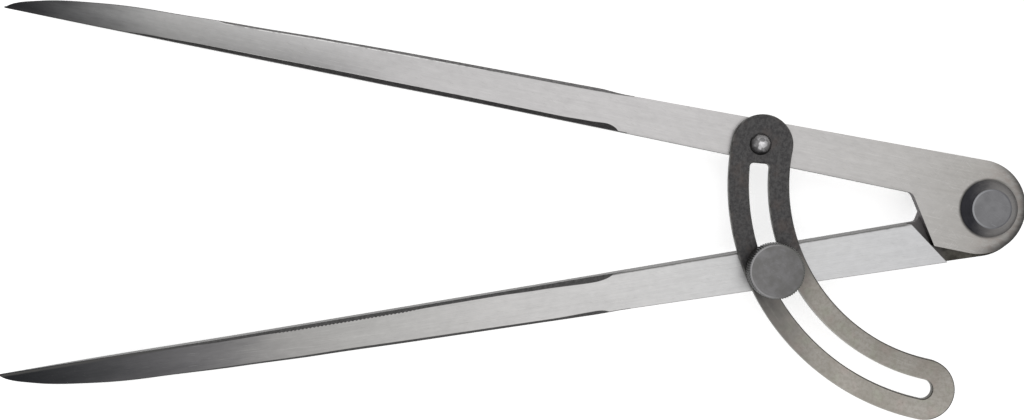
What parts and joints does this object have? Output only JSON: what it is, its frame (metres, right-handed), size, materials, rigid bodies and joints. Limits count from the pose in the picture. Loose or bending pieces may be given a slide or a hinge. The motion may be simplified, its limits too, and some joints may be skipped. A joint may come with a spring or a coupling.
{
  "type": "scribing compass",
  "caption": "Steel scribing compass: two pointed legs lapped and riveted at the head, with a slotted arc riveted to one leg and clamped on the other by a knurled screw.",
  "frame": {"origin": "on the pivot axis, at the rear face of the pivot pin and its washer, on which the compass lies", "axes": "+Z along the pivot axis towards the front, where the arc and the knurled screw are; the points lie towards -X and the line midway between the legs is the X axis; +Y towards the front leg"},
  "size_m": [0.2452, 0.0967, 0.0168],
  "materials": {
    "leg_steel": "bright ground steel with a fine grain along each leg, darker towards the points",
    "rivet_steel": "turned steel, satin, dark on the cone",
    "arc_steel": "dark tempered spring steel, scuffed and rubbed bare towards the free end",
    "dark_rivet_steel": "dark hammered snap head, polished on the crown",
    "screw_steel": "turned and knurled steel, satin"
  },
  "bodies": {
    "front_leg": {"front_leg": "leg_steel", "pivot_rivet": "rivet_steel", "pivot_washer": "rivet_steel", "arc_rivet": "dark_rivet_steel"},
    "rear_leg": {"rear_leg": "leg_steel"},
    "slotted_arc": {"slotted_arc": "arc_steel"},
    "clamp_washer": {"clamp_washer": "screw_steel"},
    "clamp_screw": {"clamp_screw": "screw_steel"}
  },
  "joints": [
    {"name": "leg_hinge", "type": "hinge", "parent": "front_leg", "child": "rear_leg", "pos_m": [0, 0, 0.00525], "axis": [0, 0, 1], "range_deg": [-21.07, 45.93]},
    {"name": "arc_swing", "type": "hinge", "parent": "front_leg", "child": "slotted_arc", "pos_m": [-0.05499, 0.0144, 0.0093], "axis": [0, 0, 1], "range_deg": [-9, 4.2]},
    {"name": "clamp_lift", "type": "slide", "parent": "rear_leg", "child": "clamp_washer", "axis": [0, 0, 1], "range_m": [0, 0.00071]},
    {"name": "clamp_turn", "type": "hinge", "parent": "clamp_washer", "child": "clamp_screw", "pos_m": [-0.05159, -0.01519, 0.014], "axis": [0, 0, 1], "range_deg": [0, 360]}
  ],
  "couplings": [
    {"joint": "arc_swing", "follows": "leg_hinge", "ratio": -0.195},
    {"joint": "clamp_lift", "follows": "clamp_turn", "m_per_rad": 0.00011141}
  ]
}
